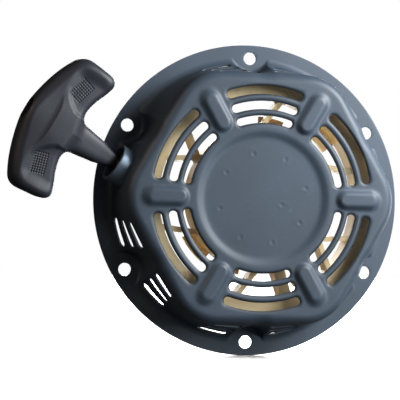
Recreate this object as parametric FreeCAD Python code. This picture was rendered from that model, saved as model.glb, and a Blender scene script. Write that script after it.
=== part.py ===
import FreeCAD
import Part
import math
import os

# Recoil starter for a horizontal-shaft engine of about 11 to 13 hp. Millimetres.
# Every piece is drawn with its height above the mounting flange along Z, and is
# turned once on export so that the starter's axis lies along Y, its face towards -Y.

# Housing: one stamped steel cup with a flange.
SHEET = 1.5
FLANGE_R = 111.0
BOLT_CIRCLE_R = 101.5
BOLT_HOLE_R = 4.6
BASE_R = 98.5
FACE_APOTHEM = 85.2
FACE_CORNER_R = 32.0
FACE_T = 48.0
FACE_EDGE_R = 6.0
DISH_RIM_R = 46.6
DISH_FLAT_R = 40.8
DISH_DEEP = 1.8
DISH_T = FACE_T - DISH_DEEP
SCALLOP_R = 12.0
SLOT_RINGS = ((51.0, 57.0), (60.5, 67.0), (71.0, 77.5))
SLOT_HALF_ANGLE = 21.0
SLOT_END_R = 2.6
RIB_INNER_R = 51.6
RIB_OUTER_R = 83.2
RIB_W = 13.4
RIB_RISE = 2.6
RIB_EDGE_R = 2.2
LOUVRES = ((8.0, 15.2), (21.5, 13.8), (35.0, 12.5))
LOUVRE_LEN = 21.0
LOUVRE_TALL = 6.6
LOUVRE_END_R = 2.8
GUIDE_SIDE = 150
SECTORS = range(0, 360, 60)
BOLT_ANGLES = range(30, 390, 60)
WELD_R = 31.0
WELD_ANGLES = (14, 60, 103, 147, 194, 240, 283, 328)
WELD_DIMPLE_R = 2.2
WELD_DIMPLE_DEEP = 0.5

# Rope guide, along the direction in which the rope is pulled.
GUIDE_BASE = FreeCAD.Vector(-92.8, 19.0, 23.0)
GUIDE_DIR = FreeCAD.Vector(-0.858, 0.478, 0.188)
COLLAR_R = 13.5
COLLAR_WALL = 1.6
COLLAR_EDGE_R = 0.7
COLLAR_BACK = -5.0
COLLAR_MOUTH = 9.0
BUSH_BACK = -7.0
BUSH_MOUTH = 4.5
BUSH_THROAT_R = 4.4
BUSH_FLARE = 3.6

# Reel and the rope wound on it.
ROPE_R = 2.5
REEL_BACK_T = 20.0
RIM_FRONT_T = 35.0
RIM_FLANGE = 1.7
RIM_INNER_R = 70.0
GROOVE_R = 72.0
RIM_R = 81.5
SPOKE_T = 3.5
SPOKE_TANGENT_R = 30.0
SPOKE_FRONT_T = 34.5
SPOKE_ANGLES = tuple(81.8 + a for a in SECTORS)
BRACE_ANGLES = (93.4, 273.4)
ANCHOR_ANGLE = 287.0
ANCHOR_W = 8.0
WEBS = ((35, 50, 60, 71), (70, 88, 49, 58), (208, 230, 49, 58), (252, 258, 49, 54))
WEB_T = 3.0
DRUM_R = 50.0
DRUM_WALL = 3.0
DRUM_FRONT_T = 45.0
FLOOR_BACK_T = 26.0
FLOOR_FRONT_T = 29.0
BOSS_R = 30.0
SLEEVE_R = 13.0
SLEEVE_BACK_T = 18.8
SLEEVE_FRONT_T = 42.4
BUSH_R = 9.0
KNOT_ANGLE = 297.8
KNOT_AT_R = 63.5
REEL_KNOT_R = 5.0
REEL_KNOT_LEN = 8.0
LAYER_ONE_R = 74.6
LAYER_ONE_T = (24.3, 29.5)
LAYER_TWO_R = 79.1
LAYER_TWO_T = 26.9
LAYER_TWO_SPAN = 315.0
ROPE_GAP = 0.3
LEAD_BEND_S = -4.5
LEAD_BEND_R = 14.0
LEAD_END_S = 3.4

# Centre post, its bracket and the recoil spring.
POST_R = 7.5
POST_END_T = 18.4
RUNNING = 0.05
BRACKET_R = 38.0
BRACKET_TUBE_R = 17.5
BRACKET_TUBE_WALL = 1.5
BRACKET_TUBE_T = 31.0
STRIP = 0.8
SPRING_IN_R = 19.0
SPRING_OUT_R = 46.0
SPRING_BACK_T = 30.5
SPRING_FRONT_T = 42.2
SPRING_TURNS = 9

# Ratchet on the back of the reel.
SCREW_R = 3.0
SCREW_END_T = 31.0
SHOULDER_R = 6.0
SCREW_HEAD_FLATS = 14.0
SCREW_HEAD_T = (2.6, 7.0)
WASHER_R = 12.0
WASHER_T = (17.2, 18.4)
PLATE_R = 28.0
PLATE_T = (7.4, 10.8)
PAWL_T = (12.4, 17.4)
PAWL_PIVOT_R = 20.0
PAWL_PIVOT_ANGLES = (90.0, 270.0)
PAWL_EYE_R = 5.0
PAWL_PIN_R = 2.5
PAWL_PIN_T = (11.8, 25.0)
PAWL_SWING = 22.0
PAWL_TIP_OUT = (19.0, 1.0)
PAWL_TIP_IN = (20.5, -4.6)
PAWL_BELLY = (10.0, -5.8)
PLATE_TURN = 30.0
PEG_REACH = 8.0
PEG_DROP = -1.0
PEG_R = 1.6
PEG_END_T = 7.9
PEG_GAP = 0.45
PAWL_SPRING_T = 18.7
PAWL_SPRING_R = 3.8
PAWL_SPRING_LEG = 9.0
WIRE_R = 0.7
FRICTION_R = 7.4
FRICTION_T = 12.6
FRICTION_TAIL_R = 13.0

# Handle, drawn with its stem tip at the origin and its length along Y.
HANDLE_TIP_S = 7.0
HANDLE_LEN = 73.0
HANDLE_ACROSS = FreeCAD.Vector(0.4867, 0.8736, 0.0)
GRIP_HALF_W = 46.5
GRIP_SHOULDER_Y = 59.2
GRIP_END_TOP = (49.0, 54.2)
GRIP_END_LOW = (47.0, 35.1)
GRIP_CORNER = (44.4, 30.9)
GRIP_CORNER_END = (38.5, 29.6)
GRIP_FINGER = (26.0, 35.4)
GRIP_ARMPIT = (11.0, 37.6)
GRIP_HALF_T = 12.0
GRIP_EDGE_R = 6.0
STEM_SECTIONS = ((3.8, 3.8, 0.0), (8.2, 6.6, 15.0), (10.6, 8.4, 29.0), (13.5, 10.0, 41.0))
HANDLE_BORE_R = 2.9
KNOT_CAVITY_R = 9.0
KNOT_CAVITY_DEEP = 17.0
HANDLE_WASHER_T = 1.6
KNOT_R = 7.0
KNOT_LEN = 11.0

ORIGIN = FreeCAD.Vector(0, 0, 0)
AXIS = FreeCAD.Vector(0, 0, 1)


def polar(radius, degrees, height=0.0):
    a = math.radians(degrees)
    return FreeCAD.Vector(radius * math.cos(a), radius * math.sin(a), height)


def disc(radius, low, high):
    return Part.makeCylinder(radius, high - low, FreeCAD.Vector(0, 0, low), AXIS)


def ring(inner, outer, low, high):
    return disc(outer, low, high).cut(disc(inner, low, high))


def rod(radius, start, direction, length):
    return Part.makeCylinder(radius, length, start, direction)


def arc(centre, radius, start, end):
    mid = centre + polar(radius, (start + end) / 2)
    return Part.Arc(centre + polar(radius, start), mid, centre + polar(radius, end)).toShape()


def upright_edges(shape):
    return [e for e in shape.Edges if len(e.Vertexes) == 2 and is_upright(e)]


def is_upright(edge):
    run = edge.Vertexes[1].Point - edge.Vertexes[0].Point
    return abs(run.z) > 0.99 * run.Length


def edges_at(shape, height):
    return [e for e in shape.Edges if all(abs(v.Z - height) < 1e-4 for v in e.Vertexes)]


def guide_point(s):
    return GUIDE_BASE + GUIDE_DIR * s


# Housing

def corner_half_angle(apothem, corner):
    half_flat = (apothem - corner) * math.tan(math.radians(30))
    return 30 - math.degrees(math.atan2(half_flat, apothem))


def face_outline(apothem, corner, height):
    reach = (apothem - corner) / math.cos(math.radians(30))
    edges = []
    for a in SECTORS:
        edges.append(arc(polar(reach, a, height), corner, a - 30, a + 30))
        start = polar(reach, a, height) + polar(corner, a + 30)
        end = polar(reach, a + 60, height) + polar(corner, a + 30)
        edges.append(Part.makeLine(start, end))
    return Part.Wire(edges)


def base_outline(radius, half, height):
    centre = FreeCAD.Vector(0, 0, height)
    edges = []
    for a in SECTORS:
        edges.append(arc(centre, radius, a - half, a + half))
        edges.append(arc(centre, radius, a + half, a + 60 - half))
    return Part.Wire(edges)


def cup(inset, low):
    half = corner_half_angle(FACE_APOTHEM, FACE_CORNER_R)
    top = FACE_T - inset
    base = base_outline(BASE_R - inset, half, low)
    face = face_outline(FACE_APOTHEM - inset, FACE_CORNER_R - inset, top)
    body = Part.makeLoft([base, face], True, True)
    body = body.makeFillet(FACE_EDGE_R - inset, edges_at(body, top))
    low_centre = FreeCAD.Vector(0, 0, top - DISH_DEEP)
    dish = Part.makeCone(DISH_FLAT_R + inset, DISH_RIM_R + inset, DISH_DEEP, low_centre)
    return body.cut(dish)


def rib(angle, inset):
    top = FACE_T - inset
    half = RIB_W / 2 - inset
    inner = RIB_INNER_R + RIB_W / 2
    outer = RIB_OUTER_R - RIB_W / 2
    low = FreeCAD.Vector(inner, 0, top - 1)
    high = FreeCAD.Vector(outer, 0, top - 1)
    height = RIB_RISE + 1
    pill = Part.makeBox(outer - inner, 2 * half, height, FreeCAD.Vector(inner, -half, top - 1))
    pill = pill.fuse([Part.makeCylinder(half, height, p, AXIS) for p in (low, high)]).removeSplitter()
    pill = pill.makeFillet(RIB_EDGE_R, edges_at(pill, top + RIB_RISE))
    return pill.rotate(ORIGIN, AXIS, angle)


def face_slot(inner, outer, middle):
    start = middle - SLOT_HALF_ANGLE
    end = middle + SLOT_HALF_ANGLE
    centre = FreeCAD.Vector(0, 0, FACE_T - 6)
    edges = [arc(centre, inner, start, end), arc(centre, outer, start, end)]
    for a in (start, end):
        edges.append(Part.makeLine(centre + polar(inner, a), centre + polar(outer, a)))
    face = Part.Face(Part.Wire(Part.__sortEdges__(edges)))
    slot = face.extrude(FreeCAD.Vector(0, 0, 12))
    return slot.makeFillet(SLOT_END_R, upright_edges(slot))


def louvre(angle, height):
    deep = 30.0
    corner = FreeCAD.Vector(BASE_R - deep + 5, -LOUVRE_LEN / 2, height - LOUVRE_TALL / 2)
    slot = Part.makeBox(deep, LOUVRE_LEN, LOUVRE_TALL, corner)
    along_x = [e for e in slot.Edges if abs(e.Vertexes[0].X - e.Vertexes[1].X) > 1]
    slot = slot.makeFillet(LOUVRE_END_R, along_x)
    return slot.rotate(ORIGIN, AXIS, angle)


def housing():
    wells = [Part.makeCylinder(SCALLOP_R, FACE_T, polar(BOLT_CIRCLE_R, a, SHEET)) for a in BOLT_ANGLES]
    outer = cup(0, 0).fuse([rib(a, 0) for a in SECTORS]).cut(wells)
    outer = outer.fuse(disc(FLANGE_R, 0, SHEET))
    walls = [Part.makeCylinder(SCALLOP_R + SHEET, FACE_T + 2, polar(BOLT_CIRCLE_R, a, -1)) for a in BOLT_ANGLES]
    inner = cup(SHEET, 0).fuse(disc(BASE_R - SHEET, -1, 0.01)).fuse([rib(a, SHEET) for a in SECTORS])
    inner = inner.cut(walls)
    shell = outer.cut(inner)
    cuts = [Part.makeCylinder(BOLT_HOLE_R, SHEET + 2, polar(BOLT_CIRCLE_R, a, -1)) for a in BOLT_ANGLES]
    for a in BOLT_ANGLES:
        cuts += [face_slot(r_in, r_out, a) for r_in, r_out in SLOT_RINGS]
        if a == GUIDE_SIDE:
            continue
        for side in (-1, 1):
            cuts += [louvre(a + side * offset, t) for t, offset in LOUVRES]
    cuts.append(rod(COLLAR_R, guide_point(-14), GUIDE_DIR, 30))
    low = DISH_T - WELD_DIMPLE_DEEP
    cuts += [Part.makeSphere(WELD_DIMPLE_R * 2, polar(WELD_R, a, low + WELD_DIMPLE_R * 2)) for a in WELD_ANGLES]
    return shell.cut(cuts)


# Rope guide

def rope_guide_collar():
    tube = rod(COLLAR_R, guide_point(COLLAR_BACK), GUIDE_DIR, COLLAR_MOUTH - COLLAR_BACK)
    rims = [e for e in tube.Edges if (e.BoundBox.Center - guide_point(COLLAR_MOUTH)).Length < 1]
    tube = tube.makeFillet(COLLAR_EDGE_R, rims)
    bore = rod(COLLAR_R - COLLAR_WALL, guide_point(COLLAR_BACK - 5), GUIDE_DIR, 30)
    return tube.cut(bore)


def rope_guide_bush():
    length = BUSH_MOUTH - BUSH_BACK
    bush = rod(COLLAR_R - COLLAR_WALL, guide_point(BUSH_BACK), GUIDE_DIR, length)
    bush = bush.cut(rod(BUSH_THROAT_R, guide_point(BUSH_BACK - 1), GUIDE_DIR, length + 2))
    throats = [e for e in bush.Edges if abs(e.BoundBox.DiagonalLength - throat_diagonal()) < 0.8]
    return bush.makeFillet(BUSH_FLARE, throats)


def throat_diagonal():
    spans = [2 * BUSH_THROAT_R * math.sqrt(1 - c * c) for c in (GUIDE_DIR.x, GUIDE_DIR.y, GUIDE_DIR.z)]
    return math.sqrt(sum(s * s for s in spans))


# Reel

def spoke(angle, turn):
    near = math.sqrt(DRUM_R ** 2 - SPOKE_TANGENT_R ** 2) - 2
    far = math.sqrt(RIM_INNER_R ** 2 - SPOKE_TANGENT_R ** 2) + 1
    low = SPOKE_TANGENT_R - SPOKE_T / 2
    tall = SPOKE_FRONT_T - REEL_BACK_T
    start = near if turn < 0 else -far
    bar = Part.makeBox(SPOKE_T, far - near, tall, FreeCAD.Vector(low, start, REEL_BACK_T))
    return bar.rotate(ORIGIN, AXIS, angle)


def web(start, end, inner, outer):
    wedge = ring(inner, outer, REEL_BACK_T, REEL_BACK_T + WEB_T)
    reach = outer * 1.5
    corners = [ORIGIN, polar(reach, start), polar(reach, end), ORIGIN]
    sector = Part.Face(Part.makePolygon(corners)).extrude(FreeCAD.Vector(0, 0, RIM_FRONT_T))
    return wedge.common(sector)


def reel():
    pieces = [ring(RIM_INNER_R, GROOVE_R, REEL_BACK_T, RIM_FRONT_T)]
    pieces.append(ring(RIM_INNER_R, RIM_R, REEL_BACK_T, REEL_BACK_T + RIM_FLANGE))
    pieces.append(ring(RIM_INNER_R, RIM_R, RIM_FRONT_T - RIM_FLANGE, RIM_FRONT_T))
    pieces.append(ring(DRUM_R - DRUM_WALL, DRUM_R, REEL_BACK_T, DRUM_FRONT_T))
    pieces.append(ring(BUSH_R, DRUM_R - 1, FLOOR_BACK_T, FLOOR_FRONT_T))
    pieces.append(ring(BUSH_R, BOSS_R, REEL_BACK_T, FLOOR_BACK_T + 1))
    pieces.append(ring(BUSH_R, SLEEVE_R, SLEEVE_BACK_T, SLEEVE_FRONT_T))
    pieces += [spoke(a, 1) for a in SPOKE_ANGLES]
    pieces += [spoke(a, -1) for a in BRACE_ANGLES]
    pieces += [web(*w) for w in WEBS]
    long = RIM_INNER_R + 1 - DRUM_R + 1
    corner = FreeCAD.Vector(DRUM_R - 1, -ANCHOR_W / 2, REEL_BACK_T)
    anchor = Part.makeBox(long, ANCHOR_W, SPOKE_FRONT_T - REEL_BACK_T, corner)
    pieces.append(anchor.rotate(ORIGIN, AXIS, ANCHOR_ANGLE))
    body = pieces[0].fuse(pieces[1:]).removeSplitter()
    holes = [rod(PAWL_PIN_R, polar(PAWL_PIVOT_R, a, 0), AXIS, PAWL_PIN_T[1]) for a in PAWL_PIVOT_ANGLES]
    holes.append(rod(ROPE_R + 0.3, polar(DRUM_R + 8, KNOT_ANGLE, LAYER_TWO_T), polar(1, KNOT_ANGLE), 20))
    return body.cut(holes)


def knot(radius, length, start, direction):
    lump = rod(radius, start, direction, length)
    return lump.makeFillet(0.42 * length, [e for e in lump.Edges if e.isClosed()])


def reel_knot():
    outward = polar(1, KNOT_ANGLE)
    start = polar(KNOT_AT_R, KNOT_ANGLE, LAYER_TWO_T)
    tail = rod(ROPE_R, start, outward, GROOVE_R - KNOT_AT_R - 0.5)
    return knot(REEL_KNOT_R, REEL_KNOT_LEN, start - outward * REEL_KNOT_LEN / 2, outward).fuse(tail)


def rope_turns():
    return [Part.makeTorus(LAYER_ONE_R, ROPE_R, FreeCAD.Vector(0, 0, t), AXIS) for t in LAYER_ONE_T]


def lead_bend_point():
    return guide_point(LEAD_BEND_S)


def lead_tangent_angle():
    bend = lead_bend_point()
    reach = math.hypot(bend.x, bend.y)
    return math.degrees(math.atan2(bend.y, bend.x)) + math.degrees(math.acos(LAYER_TWO_R / reach))


def sweep(path, section_at, direction):
    circle = Part.Wire(Part.Circle(section_at, direction, ROPE_R).toShape())
    return path.makePipeShell([circle], True, True)


def rope_outer_turn():
    start = lead_tangent_angle() + 0.5
    piece = Part.makeTorus(LAYER_TWO_R, ROPE_R, ORIGIN, AXIS, -180, 180, LAYER_TWO_SPAN)
    piece.rotate(ORIGIN, AXIS, start)
    return piece.translate(FreeCAD.Vector(0, 0, LAYER_TWO_T))


def rope_lead():
    start = polar(LAYER_TWO_R, lead_tangent_angle(), LAYER_TWO_T)
    bend = lead_bend_point()
    end = guide_point(LEAD_END_S)
    go_in = (bend - start).normalize()
    go_out = (end - bend).normalize()
    half = go_in.getAngle(go_out) / 2
    trim = LEAD_BEND_R * math.tan(half)
    enter = bend - go_in * trim
    leave = bend + go_out * trim
    towards = (go_out - go_in).normalize()
    middle = bend + towards * (LEAD_BEND_R / math.cos(half) - LEAD_BEND_R)
    edges = [Part.makeLine(start, enter), Part.Arc(enter, middle, leave).toShape(), Part.makeLine(leave, end)]
    return sweep(Part.Wire(edges), start, go_in)


# Post, bracket and recoil spring

def spindle():
    post = disc(POST_R, POST_END_T, DISH_T - SHEET - SHEET)
    return post.cut(disc(SCREW_R + RUNNING, POST_END_T - 1, SCREW_END_T + 1))


def post_bracket():
    top = DISH_T - SHEET
    plate = disc(BRACKET_R, top - SHEET, top)
    tube = ring(BRACKET_TUBE_R - BRACKET_TUBE_WALL, BRACKET_TUBE_R, BRACKET_TUBE_T, top - SHEET)
    return plate.fuse(tube).removeSplitter()


def recoil_spring():
    pitch = (SPRING_OUT_R - SPRING_IN_R) / SPRING_TURNS
    edges = []
    for half_turn in range(2 * SPRING_TURNS):
        side = -1 if half_turn % 2 == 0 else 1
        centre = FreeCAD.Vector(side * pitch / 4, 0, 0)
        radius = SPRING_IN_R + pitch * (2 * half_turn + 1) / 4
        start = 0 if side < 0 else 180
        edges.append(arc(centre, radius, start, start + 180))
        edges.append(arc(centre, radius - STRIP, start, start + 180))
    for x in (SPRING_IN_R, SPRING_OUT_R):
        edges.append(Part.makeLine(FreeCAD.Vector(x, 0, 0), FreeCAD.Vector(x - STRIP, 0, 0)))
    face = Part.Face(Part.Wire(Part.__sortEdges__(edges)))
    strip = face.extrude(FreeCAD.Vector(0, 0, SPRING_FRONT_T - SPRING_BACK_T))
    return strip.translate(FreeCAD.Vector(0, 0, SPRING_BACK_T))


def reel_bush():
    return ring(POST_R + RUNNING, BUSH_R, SLEEVE_BACK_T, SLEEVE_FRONT_T)


# Ratchet

def hexagon(across_flats, low, high):
    reach = across_flats / 2 / math.cos(math.radians(30))
    corners = [polar(reach, a, low) for a in range(0, 361, 60)]
    return Part.Face(Part.makePolygon(corners)).extrude(FreeCAD.Vector(0, 0, high - low))


def centre_screw():
    head = hexagon(SCREW_HEAD_FLATS, *SCREW_HEAD_T)
    shoulder = disc(SHOULDER_R, SCREW_HEAD_T[1], WASHER_T[0])
    shank = disc(SCREW_R, WASHER_T[0], SCREW_END_T)
    return head.fuse([shoulder, shank]).removeSplitter()


def thrust_washer():
    return ring(SCREW_R + RUNNING, WASHER_R, *WASHER_T)


def peg_position(share):
    swing = math.radians(PAWL_SWING * share)
    x = PEG_REACH * math.cos(swing) - PEG_DROP * math.sin(swing)
    y = PAWL_PIVOT_R + PEG_REACH * math.sin(swing) + PEG_DROP * math.cos(swing)
    turn = math.radians(-PLATE_TURN * share)
    return FreeCAD.Vector(x * math.cos(turn) - y * math.sin(turn), x * math.sin(turn) + y * math.cos(turn), 0)


def cam_slot():
    half = PEG_R + PEG_GAP
    steps = 6
    points = [peg_position(i / steps) for i in range(steps + 1)]
    pieces = [rod(half, p, AXIS, PLATE_T[1] + 1) for p in points]
    for start, end in zip(points[:-1], points[1:]):
        run = end - start
        box = Part.makeBox(run.Length, 2 * half, PLATE_T[1] + 1, FreeCAD.Vector(0, -half, 0))
        box.rotate(ORIGIN, AXIS, math.degrees(math.atan2(run.y, run.x)))
        pieces.append(box.translate(start))
    return pieces[0].fuse(pieces[1:])


def ratchet_guide():
    plate = ring(SHOULDER_R + RUNNING, PLATE_R, *PLATE_T)
    slot = cam_slot()
    other = slot.copy().rotate(ORIGIN, AXIS, 180)
    tail = rod(WIRE_R + 0.3, polar(FRICTION_TAIL_R, 180, 0), AXIS, PLATE_T[1] + 1)
    return plate.cut([slot, other, tail])


def friction_spring():
    loop = Part.makeTorus(FRICTION_R, WIRE_R, ORIGIN, AXIS, -180, 180, 300)
    loop = loop.rotate(ORIGIN, AXIS, 180).translate(FreeCAD.Vector(0, 0, FRICTION_T))
    arm = rod(WIRE_R, polar(FRICTION_R, 180, FRICTION_T), polar(1, 180), FRICTION_TAIL_R - FRICTION_R)
    knee = Part.makeSphere(WIRE_R, polar(FRICTION_TAIL_R, 180, FRICTION_T))
    low = PLATE_T[0] + 0.6
    tail = rod(WIRE_R, polar(FRICTION_TAIL_R, 180, low), AXIS, FRICTION_T - low)
    return loop.fuse([arm, knee, tail])


def pawl(angle):
    pivot = FreeCAD.Vector(0, PAWL_PIVOT_R, 0)
    heel = pivot + FreeCAD.Vector(0, PAWL_EYE_R, 0)
    tip_out, tip_in, belly = (pivot + FreeCAD.Vector(x, y, 0) for x, y in (PAWL_TIP_OUT, PAWL_TIP_IN, PAWL_BELLY))
    foot = pivot + FreeCAD.Vector(0, -PAWL_EYE_R, 0)
    back = pivot + FreeCAD.Vector(-PAWL_EYE_R, 0, 0)
    edges = [Part.makeLine(heel, tip_out), Part.makeLine(tip_out, tip_in)]
    edges += [Part.makeLine(tip_in, belly), Part.makeLine(belly, foot)]
    edges.append(Part.Arc(foot, back, heel).toShape())
    body = Part.Face(Part.Wire(edges)).extrude(FreeCAD.Vector(0, 0, PAWL_T[1] - PAWL_T[0]))
    body.translate(FreeCAD.Vector(0, 0, PAWL_T[0]))
    body = body.cut(rod(PAWL_PIN_R + RUNNING, pivot, AXIS, 30))
    peg = rod(PEG_R, peg_position(0) + AXIS * PEG_END_T, AXIS, PAWL_T[0] + 1 - PEG_END_T)
    return body.fuse(peg).removeSplitter().rotate(ORIGIN, AXIS, angle - 90)


def pawl_pins():
    low, high = PAWL_PIN_T
    return [rod(PAWL_PIN_R, polar(PAWL_PIVOT_R, a, low), AXIS, high - low) for a in PAWL_PIVOT_ANGLES]


def pawl_spring(angle):
    centre = polar(PAWL_PIVOT_R, angle, PAWL_SPRING_T)
    coil = Part.makeTorus(PAWL_SPRING_R, WIRE_R, centre, AXIS)
    leg = rod(WIRE_R, centre + polar(PAWL_SPRING_R, angle), polar(1, angle - 90), PAWL_SPRING_LEG)
    return coil.fuse(leg)


# Handle, in its own frame: across X, along Y from the stem tip, thick along Z

def grip_outline():
    def at(pair, side):
        return FreeCAD.Vector(side * pair[0], pair[1], 0)
    shoulder = (GRIP_HALF_W, GRIP_SHOULDER_Y)
    edges = [Part.Arc(at(shoulder, -1), FreeCAD.Vector(0, HANDLE_LEN, 0), at(shoulder, 1)).toShape()]
    for side in (-1, 1):
        edges.append(Part.makeLine(at(shoulder, side), at(GRIP_END_TOP, side)))
        edges.append(Part.makeLine(at(GRIP_END_TOP, side), at(GRIP_END_LOW, side)))
        corner = (at(GRIP_END_LOW, side), at(GRIP_CORNER, side), at(GRIP_CORNER_END, side))
        edges.append(Part.Arc(*corner).toShape())
        finger = (at(GRIP_CORNER_END, side), at(GRIP_FINGER, side), at(GRIP_ARMPIT, side))
        edges.append(Part.Arc(*finger).toShape())
    edges.append(Part.makeLine(at(GRIP_ARMPIT, -1), at(GRIP_ARMPIT, 1)))
    return Part.Wire(Part.__sortEdges__(edges))


def handle_body():
    grip = Part.Face(grip_outline()).extrude(FreeCAD.Vector(0, 0, 2 * GRIP_HALF_T))
    grip.translate(FreeCAD.Vector(0, 0, -GRIP_HALF_T))
    flat = edges_at(grip, GRIP_HALF_T) + edges_at(grip, -GRIP_HALF_T)
    grip = grip.makeFillet(GRIP_EDGE_R, flat)
    along = FreeCAD.Vector(0, 1, 0)
    rings = []
    for half_w, half_t, y in STEM_SECTIONS:
        centre = FreeCAD.Vector(0, y, 0)
        ends = (centre + FreeCAD.Vector(half_w, 0, 0), centre + FreeCAD.Vector(0, 0, half_t))
        shape = Part.Ellipse(ends[0], ends[1], centre) if half_w > half_t else Part.Circle(centre, along, half_w)
        rings.append(Part.Wire(shape.toShape()))
    stem = Part.makeLoft(rings, True, False)
    body = grip.fuse(stem)
    body = body.cut(rod(HANDLE_BORE_R, FreeCAD.Vector(0, -1, 0), along, HANDLE_LEN))
    floor = HANDLE_LEN - KNOT_CAVITY_DEEP
    return body.cut(rod(KNOT_CAVITY_R, FreeCAD.Vector(0, floor, 0), along, KNOT_CAVITY_DEEP + 1))


def placed(shape):
    thick = HANDLE_ACROSS.cross(GUIDE_DIR)
    tip = guide_point(HANDLE_TIP_S)
    rows = zip(HANDLE_ACROSS, GUIDE_DIR, thick, tip)
    cells = [c for row in rows for c in row] + [0, 0, 0, 1]
    copy = shape.copy()
    copy.Placement = FreeCAD.Placement(FreeCAD.Matrix(*cells)).multiply(shape.Placement)
    return copy


def handle():
    return placed(handle_body())


def handle_washer():
    floor = HANDLE_LEN - KNOT_CAVITY_DEEP
    along = FreeCAD.Vector(0, 1, 0)
    plate = rod(KNOT_CAVITY_R - 0.4, FreeCAD.Vector(0, floor, 0), along, HANDLE_WASHER_T)
    return placed(plate.cut(rod(HANDLE_BORE_R, ORIGIN, along, HANDLE_LEN)))


def handle_knot():
    low = HANDLE_LEN - KNOT_CAVITY_DEEP + HANDLE_WASHER_T
    return placed(knot(KNOT_R, KNOT_LEN, FreeCAD.Vector(0, low, 0), FreeCAD.Vector(0, 1, 0)))


def rope_in_handle():
    top = HANDLE_LEN - KNOT_CAVITY_DEEP + HANDLE_WASHER_T
    return placed(rod(ROPE_R, FreeCAD.Vector(0, 0, 0), FreeCAD.Vector(0, 1, 0), top))


def rope_draw():
    start = LEAD_END_S + ROPE_GAP
    return rod(ROPE_R, guide_point(start), GUIDE_DIR, HANDLE_TIP_S - start)


def export(name, shape):
    solid = Part.makeCompound(shape) if isinstance(shape, list) else shape
    turned = solid.copy()
    turned.rotate(ORIGIN, FreeCAD.Vector(1, 0, 0), 90)
    turned.exportStep(os.path.join("parts", name + ".step"))


os.makedirs("parts", exist_ok=True)
export("housing", housing())
export("rope_guide_collar", rope_guide_collar())
export("rope_guide_bush", rope_guide_bush())
export("post_bracket", post_bracket())
export("spindle", spindle())
export("recoil_spring", recoil_spring())
export("reel", reel())
export("reel_bush", reel_bush())
export("reel_knot", reel_knot())
export("rope_turns", rope_turns())
export("rope_outer_turn", rope_outer_turn())
export("rope_lead", rope_lead())
export("rope_draw", rope_draw())
export("rope_in_handle", rope_in_handle())
export("thrust_washer", thrust_washer())
export("centre_screw", centre_screw())
export("ratchet_guide", ratchet_guide())
export("friction_spring", friction_spring())
export("pawl_pins", pawl_pins())
for number, pivot_angle in enumerate(PAWL_PIVOT_ANGLES, start=1):
    export("pawl_%d" % number, pawl(pivot_angle))
    export("pawl_spring_%d" % number, pawl_spring(pivot_angle))
export("handle", handle())
export("handle_washer", handle_washer())
export("handle_knot", handle_knot())
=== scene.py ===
import math

import bpy
import numpy as np
from mathutils import Matrix, Vector


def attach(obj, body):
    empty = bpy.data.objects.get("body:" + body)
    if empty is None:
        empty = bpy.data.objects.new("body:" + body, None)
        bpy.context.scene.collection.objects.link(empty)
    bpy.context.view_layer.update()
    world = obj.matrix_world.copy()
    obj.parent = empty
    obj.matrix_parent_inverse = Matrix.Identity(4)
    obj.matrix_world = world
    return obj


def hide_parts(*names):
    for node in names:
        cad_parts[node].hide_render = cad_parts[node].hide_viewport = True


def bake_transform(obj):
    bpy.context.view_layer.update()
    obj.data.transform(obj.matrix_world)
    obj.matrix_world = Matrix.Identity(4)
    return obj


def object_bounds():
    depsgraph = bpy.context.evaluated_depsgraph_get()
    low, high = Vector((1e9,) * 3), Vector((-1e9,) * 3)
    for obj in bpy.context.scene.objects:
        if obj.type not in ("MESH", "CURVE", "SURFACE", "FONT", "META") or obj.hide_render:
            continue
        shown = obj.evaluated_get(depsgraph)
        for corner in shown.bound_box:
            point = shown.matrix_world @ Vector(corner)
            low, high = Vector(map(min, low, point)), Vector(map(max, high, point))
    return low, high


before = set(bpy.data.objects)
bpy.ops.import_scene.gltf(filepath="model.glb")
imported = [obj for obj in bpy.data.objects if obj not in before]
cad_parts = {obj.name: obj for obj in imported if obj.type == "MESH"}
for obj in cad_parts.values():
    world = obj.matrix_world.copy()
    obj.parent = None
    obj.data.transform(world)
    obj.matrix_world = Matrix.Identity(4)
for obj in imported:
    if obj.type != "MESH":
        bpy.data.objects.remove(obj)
cad_low, cad_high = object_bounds()

# ---------------------------------------------------------------- Camera
# A long lens nearly a metre off, a little left of the starter's axis and below it, so that
# the face is seen almost square and the wall's left side shows between face and flange.
turn_left, tip_down, lean = (math.radians(a) for a in (-13.67, -1.83, 0.92))
stand_off = 0.96
look_aside = 0.0352
back = Vector((
    math.sin(turn_left) * math.cos(tip_down),
    -math.cos(turn_left) * math.cos(tip_down),
    math.sin(tip_down),
))
level = Vector((math.cos(turn_left), math.sin(turn_left), 0))
upright = back.cross(level)
side = level * math.cos(lean) + upright * math.sin(lean)
forward = (-back - side * look_aside).normalized()
side = (side - forward * side.dot(forward)).normalized()
upright = side.cross(forward)
eye = bpy.data.objects.new("camera", bpy.data.cameras.new("camera"))
bpy.context.collection.objects.link(eye)
eye_axes = Matrix((side, upright, -forward)).transposed().to_4x4()
eye.matrix_world = Matrix.Translation(back * stand_off) @ eye_axes
eye.data.sensor_width = 36.0
eye.data.lens = 120.4
eye.data.clip_end = 20.0
bpy.context.scene.camera = eye

# ---------------------------------------------------------------- Floor
# A plain pale studio floor at the flange's lowest point, which runs out into the white air
# behind the starter. It isn't part of the object, and throws no light back at it.


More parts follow.
